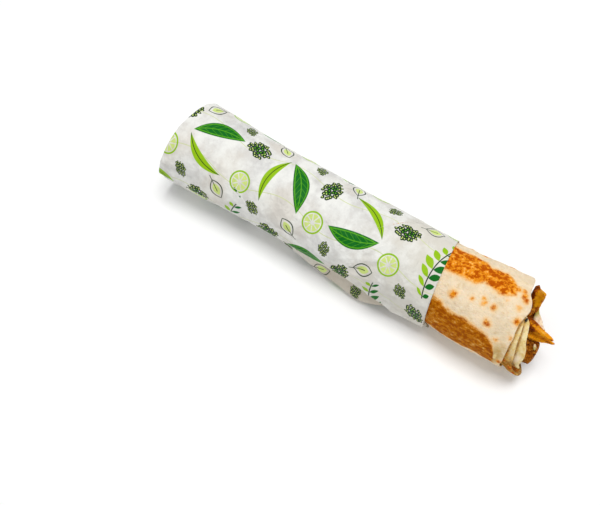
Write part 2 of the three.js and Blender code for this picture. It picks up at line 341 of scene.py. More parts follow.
# %% A finish: one material and its node tree
class Finish:
    """A material with a Principled shader, and short ways to feed it."""

    def __init__(self, name, constants):
        self.material = bpy.data.materials.new(name)
        self.material.use_nodes = True
        self.tree = self.material.node_tree
        self.shader = self.tree.nodes["Principled BSDF"]
        for socket, value in constants.items():
            self.shader.inputs[socket].default_value = value

    def node(self, kind, settings, inputs):
        """Adds a node: first its settings, then a number or a link for each input socket."""
        made = self.tree.nodes.new("ShaderNode" + kind)
        for key, value in settings.items():
            setattr(made, key, value)
        for key, value in inputs.items():
            if isinstance(value, Field):
                self.tree.links.new(value.socket, made.inputs[key])
            else:
                made.inputs[key].default_value = value
        return [Field(self, output) for output in made.outputs]

    def maths(self, operation, *terms):
        return self.node("Math", {"operation": operation}, dict(enumerate(terms)))[0]

    def vector_maths(self, operation, inputs):
        return self.node("VectorMath", {"operation": operation}, inputs)[0]

    def vector(self, x, y, z=0.0):
        return self.node("CombineXYZ", {}, {0: x, 1: y, 2: z})[0]

    def split(self, vector):
        return self.node("SeparateXYZ", {}, {0: vector})

    def coordinates(self, label):
        """The three numbers of a vector field that is stored on the mesh, and the vector."""
        vector = self.node("Attribute", {"attribute_name": label}, {})[1]
        return *self.split(vector), vector

    def place(self):
        """The object's own coordinates, in millimetres."""
        return self.vector_maths("SCALE", {0: self.node("TexCoord", {}, {})[3], 3: 1 / MM})

    def noise(self, vector, size, detail=3.0, rough=0.55):
        """Cloudy noise about 0, from -1 to 1, whose lumps are about the given size."""
        inputs = {"Vector": vector, "Scale": 1 / size, "Detail": detail, "Roughness": rough}
        return (self.node("TexNoise", {}, inputs)[0] - 0.5) * 2

    def cells(self, vector, size, scatter=1.0, kind="3D"):
        """The distance to the nearest of many scattered points, in units of their spacing,
        and the place of that point."""
        inputs = {"Vector": vector, "Scale": 1 / size, "Randomness": scatter}
        made = self.node("TexVoronoi", {"voronoi_dimensions": kind}, inputs)
        return made[0], made[2]

    def mix(self, share, first, second):
        """The first colour where the share is 0, the second where it is 1."""
        return self.node("Mix", {"data_type": "RGBA"}, {0: share, 6: first, 7: second})[2]

    def coats(self, tint, *coats):
        """Colours laid over a first one, each a share from 0 to 1 and a colour."""
        for share, colour_over in coats:
            tint = self.mix(share, tint, colour_over)
        return tint

    def feed(self, socket, value):
        self.tree.links.new(value.socket, self.shader.inputs[socket])

    def done(self, tint, roughness, height, depth):
        """Feeds colour, roughness and bumps, whose depth is in millimetres."""
        self.feed("Base Color", tint)
        self.feed("Roughness", roughness)
        inputs = {"Strength": 1.0, "Distance": depth * MM, "Height": height}
        self.feed("Normal", self.node("Bump", {}, inputs)[0])
        return self.material


def colour(red, green, blue):
    """A display colour from 0 to 255 as the linear colour that a shader needs."""
    share = np.array([red, green, blue]) / 255
    linear = np.where(share > 0.04045, ((share + 0.055) / 1.055) ** 2.4, share / 12.92)
    return (*linear.tolist(), 1.0)


def food(bend, shine, inward, reach, colours, **others):
    """Constants of food: how it bends and mirrors light, how much light goes in, how far
    that reaches in metres, and how much of that reach red, green and blue have."""
    return {"IOR": bend, "Specular IOR Level": shine, "Subsurface Weight": inward,
            "Subsurface Scale": reach, "Subsurface Radius": colours, **others}


# %% [markdown]
# ## The print on the sleeve
#
# The paper carries a repeat of garden motifs in a few greens. A picture file would be the
# usual way, but each motif is simple enough to be a formula on the flat sheet: a leaf is
# where an arch is wider than the distance from the midrib, a slice is rings and sectors,
# a herb tuft is a patch of ringed cells. A staggered lattice repeats the motifs, and
# turns each one by a random angle. Their sizes are millimetres on the sheet.

# %% Inks and the repeat
DARK_GREEN = colour(8, 104, 24)
OUTLINE_GREEN = colour(12, 50, 18)
HEART_GREEN = colour(96, 178, 26)
LIME = colour(144, 188, 16)
PALE_LIME = colour(204, 222, 130)
PALE_LINE = colour(200, 210, 140)
ROW, COLUMN = 39.0, 45.0
INK_EDGE = 0.14


def inked(inside):
    """1 where a distance in millimetres is above 0, with a soft edge."""
    return inside.ramp(-INK_EDGE, INK_EDGE)


def from_line(value, spacing):
    """How far a value is from the nearest of many parallel lines."""
    part = value / spacing
    return abs(part - part.whole() - 0.5) * spacing


def rotated(x, y, cosine, sine):
    return x * cosine + y * sine, y * cosine - x * sine


def repeat(paper, across, along, shift=(0.0, 0.0)):
    """Coordinates from the middle of a cell of the lattice, turned by the cell's own
    random angle, and the cell's random number. Every second row is moved half a cell."""
    across = across / ROW + shift[0]
    row = across.whole()
    odd = row - (row / 2).whole() * 2
    along = along / COLUMN + odd * 0.5 + shift[1]
    column = along.whole()
    x = (along - column - 0.5) * COLUMN
    y = (across - row - 0.5) * ROW
    seed = paper.vector(row + shift[0], column + shift[1])
    chance = paper.node("TexWhiteNoise", {}, {"Vector": seed})[0]
    turn = chance * TURN
    return *rotated(x, y, turn.cosine(), turn.sine()), chance


def blade(x, y, base, degrees, length, width, bend=0.0):
    """How far a place is inside a curved pointed leaf, its distance from the midrib, and
    its way along. With m from -1 to 1 along the leaf, the arch is 1 - m^2, the half width
    is width / 2 * arch and the midrib is bent by bend * arch."""
    angle = np.radians(degrees)
    u, v = rotated(x - base[0], y - base[1], np.cos(angle), np.sin(angle))
    middle = u * (2 / length) - 1
    arch = 1 - middle * middle
    rib = abs(v - arch * bend)
    return arch * (width / 2) - rib, rib, u


# %% Motifs of leaves
def spray(x, y):
    """A broad leaf with fine ribs, and a narrow leaf that bends the other way. Gives the
    inks of the broad leaf, its ribs, the narrow leaf and its midrib."""
    broad, rib, u = blade(x, y, (-13.5, -1), -18, 28, 8.6, -3)
    vein = from_line(u - rib * 1.3, 3.4)
    ribs = inked(0.22 - rib).at_least(inked(0.12 - vein))
    narrow, narrow_rib, _ = blade(x, y, (-13.5, 1), 24, 27, 4.6, 3.5)
    midrib = inked(narrow) * inked(0.2 - narrow_rib)
    edge = inked(0.24 - abs(broad - 0.9))
    return inked(broad), inked(broad) * ribs.at_least(edge), inked(narrow), midrib


def twig(x, y):
    """A curved stem with a pair of small leaves every few millimetres, shorter towards its
    ends. Gives the inks of the leaves above, the leaves below, and the stem."""
    spacing, reach = 4.8, 14.8
    bent = y - x * x * 0.016 + 1.8
    pair = (x / spacing + 0.5).whole() * spacing
    size = 1 - abs(pair) * (0.5 / reach)
    side = abs(bent) - 0.3
    leaf, _, _ = blade((x - pair) / size, side / size, (-1.9, 0), 56, 8.2, 3.7)
    leaves = inked(leaf) * (reach - abs(pair) > 0)
    above = bent > 0
    stem = inked(0.32 - abs(bent)) * inked(reach + 1.6 - abs(x))
    return leaves * above, leaves * (1 - above), stem


def bud(x, y):
    """A small leaf drawn as an outline with a stalk, and its pale heart."""
    leaf, _, _ = blade(x, y, (-5, 0), 0, 11, 7.6)
    heart, _, _ = blade(x, y, (-3, 0), 0, 7, 4.2)
    stalk = inked(0.22 - abs(y - x * x * 0.01)) * inked(4.6 - abs(x + 2.8))
    return inked(0.34 - abs(leaf - 0.34)).at_least(stalk), inked(heart)


# %% Round motifs
def fruit_slice(x, y):
    """A slice: a rim, and eight wedges between thin spokes. Inks of the rim and wedges."""
    radius = (x * x + y * y).root()
    spoke = abs((y.direction(x) * 4).sine()) * radius * 0.25
    rim = inked(0.45 - abs(radius - 5.3))
    return rim, inked(spoke - 0.28) * inked(4.3 - radius) * inked(radius - 0.8)


def herb_tuft(paper, x, y):
    """Ringed leaflets with bright hearts, kept whole: a leaflet belongs to the tuft when
    its own middle is inside the ragged patch. Inks of the rings and the hearts, and 1 for
    the hearts in the middle of the tuft."""
    leaflet = 1.75
    near, middle = paper.cells(paper.vector(x, y), leaflet, 0.8, "2D")
    u, v, _ = paper.split(middle)
    reach = (u * u * 0.75 + v * v * 1.5).root()
    belongs = 5.8 - reach > 0
    rings = inked((0.22 - abs(near - 0.42)) * leaflet)
    hearts = inked((0.3 - near) * leaflet)
    return rings * belongs, hearts * belongs, 3.2 - reach > 0


# %% [markdown]
# ## Greaseproof paper
#
# The sheet is white and slightly waxy, so light slides over its creases as soft grey
# shades, and the bread's fat leaves faint patches. The strip below the sheet's free edge,
# which the loose flap shades, gets a painted warm shade. The print lies on the outer side
# only. The mesh stores flat sheet coordinates: the distance round the sheet, the distance
# along it, and which side is seen. A print that read the object's own coordinates would
# not follow the winding.

# %% The sleeve's finish
PAPER_WHITE = colour(232, 232, 227)
PAPER_GREY = colour(202, 201, 199)
PAPER_WAXY = colour(222, 214, 200)
PAPER_GREASY = colour(212, 208, 196)
# Painted warm shade below the sheet's free edge, and the span of that strip round and along the
# sheet.
PAPER_SHADE_UNDER_FLAP = colour(190, 178, 158)
STRIP_STARTS, STRIP_ENDS, STRIP_ALONG = (70.0, 73.0), (96.0, 88.0), (70, 110)
TWIG_CHANCE = 0.66
LINE_WAVE_LENGTH, LINE_WAVE_HEIGHT = 9, 3
SMALL_TUFT = 1.6


def greaseproof_paper():
    paper = Finish("greaseproof_paper", {"IOR": 1.45, "Specular IOR Level": 0.14})
    across, along, inner_side, flat = paper.coordinates("flat_sheet")
    outside = 1 - inner_side.ramp(0.4, 0.6)

    def cell(*shift):
        return repeat(paper, across, along, shift)[:2]

    x, y, chance = repeat(paper, across, along)
    broad, ribs, narrow, midrib = spray(x, y)
    above, below, stem = twig(x, y)
    sprays = (TWIG_CHANCE - chance > 0) * outside
    twigs = (chance > TWIG_CHANCE) * outside
    rim, wedges = fruit_slice(*cell(-0.26, 0.5))
    rings, hearts, bright = herb_tuft(paper, *cell(0.24, 0.5))
    outline, bud_heart = bud(*cell(0.5, 0.25))
    x, y = cell(0.5, 0.75)
    small_rings, small_hearts, _ = herb_tuft(paper, x * SMALL_TUFT, y * SMALL_TUFT)
    wave = (along / LINE_WAVE_LENGTH).sine() * LINE_WAVE_HEIGHT + across
    pale = wedges.at_least(bud_heart).at_least(hearts).at_least(small_hearts)
    fine = (stem * twigs).at_least(midrib * sprays)
    fine = fine.at_least(rings.at_least(small_rings).at_least(outline) * outside)

    cloud = paper.noise(flat, 11, 5, 0.6)
    strip = across.ramp(*STRIP_STARTS) * across.ramp(*STRIP_ENDS) * along.ramp(*STRIP_ALONG)
    tint = paper.coats(
        PAPER_WHITE,
        (cloud.ramp(-0.25, 0.4), PAPER_GREY),
        (paper.noise(flat, 22, 4).ramp(-0.1, 0.35) * 0.5, PAPER_WAXY),
        ((along + cloud * 60).ramp(105, 165) * 0.75, PAPER_GREASY),
        # Painted shade on the strip below the free edge, which the loose flap shades.
        (strip * 0.75, PAPER_SHADE_UNDER_FLAP),
        (inked(0.2 - from_line(wave, ROW / 2)) * outside * 0.75, PALE_LINE),
        (pale * outside, PALE_LIME),
        (hearts * bright * outside, HEART_GREEN),
        ((below * twigs).at_least(narrow * sprays).at_least(rim * outside), LIME),
        ((above * twigs).at_least(broad * sprays), DARK_GREEN),
        (ribs * sprays * 0.8, HEART_GREEN),
        (fine, OUTLINE_GREEN),
    )
    shift = paper.vector(paper.noise(flat, 9) * 4, paper.noise(flat, 8) * 4)
    bent = paper.vector_maths("ADD", {0: flat, 1: shift})
    crumple = paper.cells(bent, 15)[0] * 1.2 + paper.cells(bent, 5.5)[0] * 0.4
    crumple = crumple + paper.noise(flat, 4.5, 4) * 0.35 + paper.noise(flat, 0.5) * 0.03
    return paper.done(tint, paper.noise(flat, 6) * 0.08 + 0.45, crumple, 1.5)


# %% [markdown]
# ## The sleeve
#
# One sheet is wound a turn and a quarter round the roll. Its free edge lies along the
# near side, lifts at one loose place, below which the sheet sags, and steps down towards
# the mouth, where a corner peeps out as a tongue. At the shut end the rim is folded in,
# pleat over pleat. The surface is a function of two parameters: the way from the middle
# of the shut end, over the rim and along to the mouth, and the angle round the sheet. A
# cloth simulation could crumple it too, but a formula also gives the print its flat sheet.

# %% Sizes of the sheet
PAPER_INNER_ANGLE = np.radians(118)
PAPER_CLIMB = np.radians(40)
PAPER_EDGE_ANGLES = (np.radians(174), np.radians(190))
PAPER_EDGE_STEP, EDGE_STEP_SPAN = np.radians(17), (134.0, 146.0)
WRINKLE_HEIGHT, WRINKLES_ROUND, WRINKLE_LONG, WRINKLE_SKEW = 0.35, 3, 17.0, 9.0
# Lips of the free edge: place along, spread, lift, and width in degrees.
LIPS = ((2.0, 16.0, 0.5, 14), (141.0, 13.0, 2.2, 15), (161.0, 12.0, 2.0, 30))
# The sag: its bell, and the place, spread and lift of its two parts along the roll.
SAG, SAG_PARTS = Bell(217, 15.5, 1.0), ((113.0, 31.0, 7.4), (129.0, 13.0, 3.4))
# The tongue lies on the first turn of the sheet only, so it has an angle without turns.
TONGUE_ANGLE, TONGUE_WIDTH = np.radians(213), np.radians(12)
TONGUE_REACH, TONGUE_LIFT, TONGUE_FROM = 2.6, 2.0, 150.0
TUCK_FOLDS, TUCK_DEPTH, TUCK_TWIST = 7, 1.7, 0.9
PLEAT_CREST, PLEAT_NEST = 0.94, 0.3
RIDGE_HEIGHT, RIDGE_REACH, RIDGE_PLACE, RIDGE_WIDTH = 0.55, 11.0, 0.93, 0.09
DENT_SIZE, DENT_DEPTH = 24.0, 0.35
CREASE_COUNT, CREASE_HEIGHT, CREASES_UP_TO = 120, 0.75, TURN + 3.6
GREASEPROOF = 0.13
RIM_ROUNDING = 0.8
SHEET_STEPS = {"tuck": 24, "rim": 4, "along": 176, "round": 236}


def slanted(angle, slant):
    """A rim's slant: its first size * cosine + its second size * sine of the angle."""
    return slant[0] * np.cos(angle) + slant[1] * np.sin(angle)


def paper_start(angle):
    return slanted(angle, PAPER_END_SLANT)


def tongue(angle):
    return hump(angle, TONGUE_ANGLE, TONGUE_WIDTH)


def paper_mouth(angle):
    return PAPER_LENGTH - slanted(angle, PAPER_MOUTH_SLANT) + TONGUE_REACH * tongue(angle)


def paper_edge_angle(along):
    first, last = PAPER_EDGE_ANGLES
    step = PAPER_EDGE_STEP * smooth(along, *EDGE_STEP_SPAN)
    return first + np.clip(along / PAPER_LENGTH, 0, 1) * (last - first) + step + TURN


def paper_climb(angle):
    """0 on the first turn of the sheet and 1 where it lies on its own inner edge."""
    overlap = PAPER_INNER_ANGLE + TURN
    return smooth(angle, overlap - PAPER_CLIMB, overlap)


def pleat(angle, share):
    """The share of the way across a pleat, and the angle of its middle at the rim."""
    lap = angle / TURN * TUCK_FOLDS + TUCK_TWIST * (1 - share)
    return lap - np.floor(lap), (np.floor(lap) + 0.5) * TURN / TUCK_FOLDS


def sheet_lift(along, angle):
    """How far the sheet stands off: waves, dents, creases, the pleats' ridges that run out
    along the tube, the lips of the free edge, the tongue, and the sag on the near side."""
    waves = np.sin(WRINKLES_ROUND * angle + along / WRINKLE_LONG)
    waves = waves * np.sin(along / WRINKLE_SKEW - angle)
    lift = WRINKLE_HEIGHT * (0.5 + 0.5 * waves)
    round_sheet = angle * ROLL_RADIUS
    flat = np.stack(np.broadcast_arrays(along, round_sheet, 0 * along), axis=-1)
    lift = lift + DENT_DEPTH * rough(flat, DENT_SIZE, 17, octaves=2)
    reach = (PAPER_INNER_ANGLE * ROLL_RADIUS, 0), (CREASES_UP_TO * ROLL_RADIUS, PAPER_LENGTH)
    lift = lift + CREASE_HEIGHT * creases(round_sheet, along, reach, CREASE_COUNT, seed=11)
    ridge = hump(pleat(angle, 1.0)[0], RIDGE_PLACE, RIDGE_WIDTH)
    lift = lift + RIDGE_HEIGHT * (ridge * np.exp(-np.abs(along) / RIDGE_REACH))
    edge = paper_edge_angle(along)
    for place, spread, height, degrees in LIPS:
        loose = smooth(angle, edge - np.radians(degrees), edge)
        lift = lift + height * loose * hump(along, place, spread)
    sag = sum(height * hump(along, place, spread) for place, spread, height in SAG_PARTS)
    corner = TONGUE_LIFT * tongue(angle) * smooth(along, TONGUE_FROM, PAPER_LENGTH)
    return lift + corner + sag * bell(angle, SAG)


# %% The sheet's surface
def tuck_fold(angle, share):
    """A saw-tooth of pleats that grows from the middle to the rim."""
    part, _ = pleat(angle, share)
    return TUCK_DEPTH * part * (1 - smooth(part, PLEAT_CREST, 1.0)) * share


def sleeve_surface():
    """Rows go from the middle of the shut end to the mouth, columns round the sheet. Shut
    end: (share * slant + pleat, share * rim). Rim: a quarter circle. Tube: the roll's form
    at the paper's height. Also gives the flat sheet coordinates, in which each pleat keeps
    its own piece of the sheet, unstretched."""
    share = np.linspace(0.04, 1, SHEET_STEPS["tuck"])[:, None]
    bend = np.linspace(0, np.pi / 2, SHEET_STEPS["rim"] + 1)[1:, None]
    tube = np.linspace(0, 1, SHEET_STEPS["along"] + 1)[1:, None]
    around = np.linspace(0, 1, SHEET_STEPS["round"] + 1)

    def wound(along):
        return PAPER_INNER_ANGLE + around * (paper_edge_angle(along) - PAPER_INNER_ANGLE)

    def height(angle):
        return CLEARANCE + PAPER_THICKNESS + PAPER_PITCH * paper_climb(angle)

    angle = wound(0.0)
    nest = PLEAT_NEST * (1 - paper_climb(angle))
    lift = sheet_lift(0.0, angle)
    rim = roll_point(0.0, angle, -height(angle), lift - RIM_ROUNDING)
    end = share[..., None] * rim
    end[..., 0] = share * (paper_start(angle) + nest) + tuck_fold(angle, share)

    short = 1 - np.sin(bend)
    along = paper_start(angle) + RIM_ROUNDING * (1 - np.cos(bend))
    corner = roll_point(along, angle, -height(angle), lift - RIM_ROUNDING * short)
    corner[..., 0] += (nest + tuck_fold(angle, 1.0)) * short**2

    tube_angle = wound(tube * PAPER_LENGTH)
    start = paper_start(tube_angle) + RIM_ROUNDING
    along_tube = start + tube * (paper_mouth(tube_angle) - start)
    lift = sheet_lift(along_tube, tube_angle)
    body = roll_point(along_tube, tube_angle, -height(tube_angle), lift)

    part, pleat_angle = pleat(angle, share)
    across_pleat = (part - 0.5) * TURN / TUCK_FOLDS * share
    flat = [((pleat_angle + across_pleat) * ROLL_RADIUS, -ROLL_RADIUS * (1 - share) + 0 * angle),
            (angle * ROLL_RADIUS + 0 * bend, along),
            (tube_angle * ROLL_RADIUS, along_tube)]
    return np.concatenate([end, corner, body]), np.concatenate([np.dstack(pair) for pair in flat])


def offset_inwards(surface, thickness):
    """The surface moved along its normals, which are the cross product of its slopes."""
    down, across = np.gradient(surface, axis=0), np.gradient(surface, axis=1)
    normal = np.cross(across, down)
    normal /= np.linalg.norm(normal, axis=-1, keepdims=True)
    outwards = np.sign((normal * surface * [0, 1, 1]).sum())
    return surface - outwards * thickness * normal


# %% Make the sleeve
outer, flat = sleeve_surface()
inner = offset_inwards(outer, GREASEPROOF)
flat = np.concatenate([flat[:1], flat])
sides = [np.dstack([flat, np.full(flat.shape[:2], side)]) for side in (0.0, 1.0)]
add_piece("paper_sleeve", [slab(with_pole(outer), with_pole(inner))], "paper_wrap",
          {"flat_sheet": np.concatenate(sides)}, greaseproof_paper())

# %% [markdown]
# ## Toasted flatbread
#
# The griddle leaves long scorched bands where the roll was pressed on it, and small spots
# on the blisters. Painting them as a picture would need a file, so the mesh stores how
# deep inside a scorched patch each point is and how dark the patch is, and the finish
# breaks that smooth edge up with noise and picks the browns.

# %% Where the bread is toasted
BANDS = (
    {
        "along": (158, 165, 169, 173.5, 177, 180.5, 185, 189, 193, 196.5),
        "from": (50, 51, 49, 51.5, 55, 62, 59, 57, 64, 73),
        "to": (91, 92, 91, 91.5, 92, 84, 88, 89, 87, 81),
        "dark": 0.42,
    },
    {
        "along": (158, 166, 169, 175, 181, 186, 191, 194.6, 198.4, 201, 203),
        "from": (131, 131.5, 136, 138, 136, 138, 140, 143, 149, 160, 176),
        "to": (189, 189, 188, 188, 187, 187, 186, 186, 187, 188, 184),
        "dark": 1.5,
    },
    {
        "along": (158, 164, 172, 181, 188, 193, 197),
        "from": (288, 284, 290, 287, 293, 300, 306),
        "to": (331, 336, 333, 329, 331, 325, 312),
        "dark": 0.55,
    },
)
# Spots: place along, degrees, radius, and how dark.
OUTER_SPOTS = (
    (170.0, 115.7, 1.8, 0.5), (190.2, 107.0, 1.0, 0.6), (190.6, 126.4, 1.1, 0.8),
    (191.8, 128.4, 0.9, 1.0), (179.2, 109.8, 0.2, -0.4), (184.2, 104.0, 0.8, -0.2),
    (185.2, 107.5, 0.9, -0.2), (193.8, 92.7, 0.0, 0.8), (198.6, 141.5, 0.6, 0.9),
    (204.3, 130.4, 0.5, 0.9), (203.3, 108.4, 1.4, 0.4), (199.4, 71.5, 1.0, 0.2),
    (200.6, 76.5, 1.5, 0.4), (202.0, 81.0, 1.2, 0.5), (196.5, 73.1, 1.2, 0.2),
    (200.9, 93.4, 0.8, 0.0), (205.2, 172.0, 1.5, 0.9), (166.4, 14.0, 2.0, 0.6),
    (181.0, 356.0, 1.4, 0.5), (189.5, 22.0, 1.7, 0.7), (174.5, 33.0, 1.1, 0.3),
    (199.0, 8.0, 1.3, 0.4), (186.0, 256.0, 1.9, 0.6), (170.5, 262.0, 1.4, 0.5),
    (197.0, 243.0, 1.3, 0.5), (176.0, 214.0, 1.6, 0.6), (191.0, 206.0, 1.2, 0.4),
    (168.0, 201.0, 1.0, 0.3),
)
SECOND_LAYER_SPOTS = (
    (207.0, 171.0, 1.6, 0.9), (206.6, 157.0, 0.9, 0.8), (211.8, 179.0, 1.6, 0.9),
    (214.6, 192.0, 1.4, 0.8), (208.4, 122.0, 0.7, 0.2),
)
UNTOASTED = -6.0
DEEPEST = 2.0


def toasted(along, angle, bands, spots):
    """Depth inside the nearest scorched patch in mm, and how dark it is. For a band: the
    least distance to its sides and end. For a spot: its radius less the distance."""
    degrees = np.degrees(angle) % 360
    per_degree = ROLL_RADIUS * TURN / 360
    depth = np.full(np.broadcast(along, angle).shape, UNTOASTED)
    dark = np.zeros(depth.shape)
    patches = []
    for band in bands:
        first = np.interp(along, band["along"], band["from"])
        last = np.interp(along, band["along"], band["to"])
        inside = np.minimum(degrees - first, last - degrees) * per_degree
        patches.append((np.minimum(inside, band["along"][-1] - along), band["dark"]))
    for place, turn, radius, spot_dark in spots:
        apart = np.abs(degrees - turn)
        apart = np.minimum(apart, 360 - apart) * per_degree
        patches.append((radius - np.hypot(along - place, apart), spot_dark))
    for inside, patch_dark in patches:
        dark = np.where(inside > depth, patch_dark, dark)
        depth = np.maximum(depth, inside)
    return np.minimum(depth, DEEPEST), dark


# %% The bread's finish
def flatbread_finish():
    """Cream bread with tan freckles. The stored layer number turns it a painted dull shade just
    below 1, doughy at 1 and golden with fat and painted shadow towards 2, and a negative
    darkness paints a pale highlight. Past the ragged edge of a scorched patch it turns tan,
    then orange-brown, and dark brown in blotches, which are drawn out into streaks where it
    is darkest and greasy."""
    bread = Finish("toasted_flatbread", food(1.4, 0.04, 0.12, 0.001, (1.0, 0.6, 0.3)))
    depth, dark, layer, _ = bread.coordinates("scorch")
    place = bread.place()
    grain = bread.noise(place, 1.0, 4, 0.7)
    patchy = bread.noise(place, 2.5, 3, 0.6)
    cloud = bread.noise(place, 8)
    doughy = bread.mix(patchy.ramp(-0.35, 0.35), colour(250, 232, 182), colour(230, 200, 128))
    golden = (patchy + grain).ramp(-0.2, 0.4)
    golden = bread.mix(golden, colour(154, 96, 12), colour(212, 166, 84))
    inner = layer.ramp(0.0, 1.0)
    cream = bread.coats(
        colour(243, 222, 190),
        (cloud.ramp(-0.3, 0.35), colour(232, 212, 180)),
        (patchy.ramp(0.0, 0.5) * 0.75, colour(218, 190, 146)),
        (patchy.ramp(-0.1, -0.5) * 0.6, colour(248, 236, 216)),
        (bread.noise(place, 1.5, 2).ramp(0.38, 0.6) * 0.5, colour(204, 152, 90)),
        (inner, doughy),
        # Painted dull shade where the layer number is just below 1, as on the outer turn's low
        # near side.
        (inner * layer.ramp(1.0, 0.9) * 0.6, colour(176, 132, 66)),
        (layer.ramp(1.0, 2.0), golden),
        # Painted highlight where the darkness is negative, on the third turn's bulge.
        (dark.ramp(-0.4, -1.7), colour(252, 232, 200)),
    )
    blotches = bread.noise(place, 2.6, 4, 0.68) * 3.6
    drawn_out = bread.vector_maths("MULTIPLY", {0: place, 1: (0.7, 1, 1)})
    streaks = bread.noise(drawn_out, 2.3, 4, 0.7) * 3.6
    greasy = dark.ramp(1.0, 1.4)
    mottle = blotches + (streaks - blotches) * greasy
    ragged = depth + mottle * 0.45 + grain * 0.4
    outermost = layer.ramp(0.9, 0.4)
    scorch = ragged.ramp(-0.7, 1.1)
    shade = dark - greasy * 1.1 + mottle * 0.85 + cloud * 0.5 + depth * 0.06
    brown = bread.coats(
        bread.mix(greasy, colour(255, 196, 108), colour(226, 172, 92)),
        (shade.ramp(-0.65, 0.2), bread.mix(greasy, colour(238, 148, 28), colour(196, 118, 12))),
        (shade.ramp(0.2, 1.0), bread.mix(greasy, colour(186, 84, 0), colour(160, 80, 0))),
    )
    tint = bread.coats(
        cream,
        (ragged.ramp(-2.6, -0.3) * outermost * 0.6, colour(248, 212, 160)),
        (ragged.ramp(-1.4, 0.4) * (outermost * 0.65 + 0.2), colour(238, 178, 94)),
        (scorch, brown),
    )
    relief = bread.cells(place, 1.4)[0] * 0.4 + grain * 0.7 + patchy * 0.6
    return bread.done(tint, scorch * -0.15 + 0.75 + grain * 0.06, relief, 0.4)


# %% [markdown]
# ## The rolled bread
#
# The bread is one soft sheet, rolled two and a half turns. A cloth simulation could roll
# it, but a spiral formula is exact and quick. Only its outer turn past the sleeve and the
# layered mouth are seen, so the grid is coarse inside the sleeve and fine outside. On the
# near side the inner turns stick out farther and open outwards, and on the far side the
# outer turn covers them. Blisters and soft lumps make it look hand-made.

# %% Sizes of the bread
BREAD_THICKNESS, BREAD_PITCH = 1.5, 1.8
BREAD_TURNS = 2.62
BREAD_SEAM_ANGLE, BREAD_CLIMB = np.radians(243), np.radians(60)
LUMP_HEIGHT, LUMP_LONG, LUMP_SHORT = 0.3, 11.0, 8.0
END_FAR_ANGLE = np.radians(28)
END_SLANT, END_SLANT_PER_TURN = 4.5, 4.9
# From the far side (0) to the near side (1), the layers open between these shares.
END_OPENED = (0.2, 0.37)
END_COVER, INNER_RECESS = Bell(88.5, 16.5, 2.6), 1.5
END_LOBE = Bell(218, 24, 2.4)
END_FLARE, FLARE_SPAN, FLARE_LIFTS = Bell(206, 26, 1.0), (0.5, 5), (1.2, -1.0)
RAGGED_HEIGHT, RAGGED_SIZE, RAGGED_PER_TURN = 0.4, 2.0, 70
SECOND_LOBE = Bell(217, 31, 5.6)
THIRD_TRIMS, THIRD_REACH = (Bell(222, 25, 8.5), Bell(175, 13, 1.5)), 1.2
THIRD_STARTS = (1.85, 2.05)
NEAR_BULGE, BULGE_LOSS = Bell(197, 26, 1.0), 0.6
# Blisters: height, size, seed and octaves, and the share of them on the inner turns.
BLISTERS, INNER_BLISTERS = ((0.3, 6.0, 21, 3), (0.1, 1.9, 27, 2)), 0.4
PUFF = 0.3
TUCK_THICKNESS = 0.8
HIDDEN_UP_TO = 156.0
BREAD_STEPS = {"hidden": 10, "seen": 90, "edge": 7, "outer": 250, "inner": 150}


def bread_depth(turns):
    whole = np.floor(turns)
    return BREAD_PITCH * (whole + smooth(turns - whole, 1 - BREAD_CLIMB / TURN, 1))


def bread_end(angle, turns):
    """The sheet's edge, slanted towards the near side. There each turn ends farther out,
    with a rounded lobe. The second layer is longest and the third one is trimmed back,
    which leaves a hollow. On the far side and the top the inner turns end a recess short,
    and near the top the outer turn covers them."""
    nearness = (1 - np.cos(angle - END_FAR_ANGLE)) / 2
    opened = smooth(nearness, *END_OPENED)
    cover = np.where(turns < 1, bell(angle, END_COVER), -INNER_RECESS * (1 - opened))
    trim = sum(bell(angle, form) for form in THIRD_TRIMS)
    third = smooth(turns, *THIRD_STARTS)
    second = bell(angle, SECOND_LOBE) * smooth(turns, 0.9, 1.0) * (1 - third)
    steps_out = turns % 1 + np.floor(turns) * opened
    return (BREAD_LENGTH + (END_SLANT + END_SLANT_PER_TURN * steps_out) * nearness + cover
            + bell(angle, END_LOBE) + second + third * (THIRD_REACH * opened - trim))


def bread_lump(along, angle):
    """Broad waves, and a bulge on the near side, past the sleeve."""
    shown = smooth(along, PAPER_LENGTH + 3, PAPER_LENGTH + 12)
    waves = np.sin(2 * angle + along / LUMP_LONG) + np.sin(5 * angle - along / LUMP_SHORT)
    bulge = bell(angle, NEAR_BULGE) * smooth(along, PAPER_LENGTH - 4, PAPER_LENGTH + 6)
    bulge = bulge * (1 - BULGE_LOSS * smooth(along, BREAD_LENGTH - 10, BREAD_LENGTH + 3))
    return LUMP_HEIGHT * shown * waves + bulge


def bread_flare(along, angle, turns):
    """Past the end of the outermost layer, on the near side, the second layer opens
    outwards and the third one sinks in."""
    outwards, inwards = FLARE_LIFTS
    lift = outwards + (inwards - outwards) * smooth(turns, *THIRD_STARTS)
    past = along - bread_end(angle, turns % 1)
    return np.where(turns > 1, smooth(past, *FLARE_SPAN) * lift * bell(angle, END_FLARE), 0)


# %% Stains of fat, and painted shade, shadow and highlight
GOLDEN, GOLDEN_FROM = Bell(190, 32, 1.3), (205.5, 208.0)
# A painted shade on the outer turn's low near side and a painted highlight on the third turn's
# bulge: each its bell, place along and spread.
LOW_SIDE_SHADE, BULGE_HIGHLIGHT = (Bell(166, 26, 1.0), 202.4, 3.8), (Bell(161, 14, -1.5), 212.5, 2.3)
# A painted shadow along the edge of each covering turn: its strength, how far past the edge, and
# spread.
SHADOW, SHADOW_PAST, SHADOW_SPREAD = 0.8, 0.3, 0.9
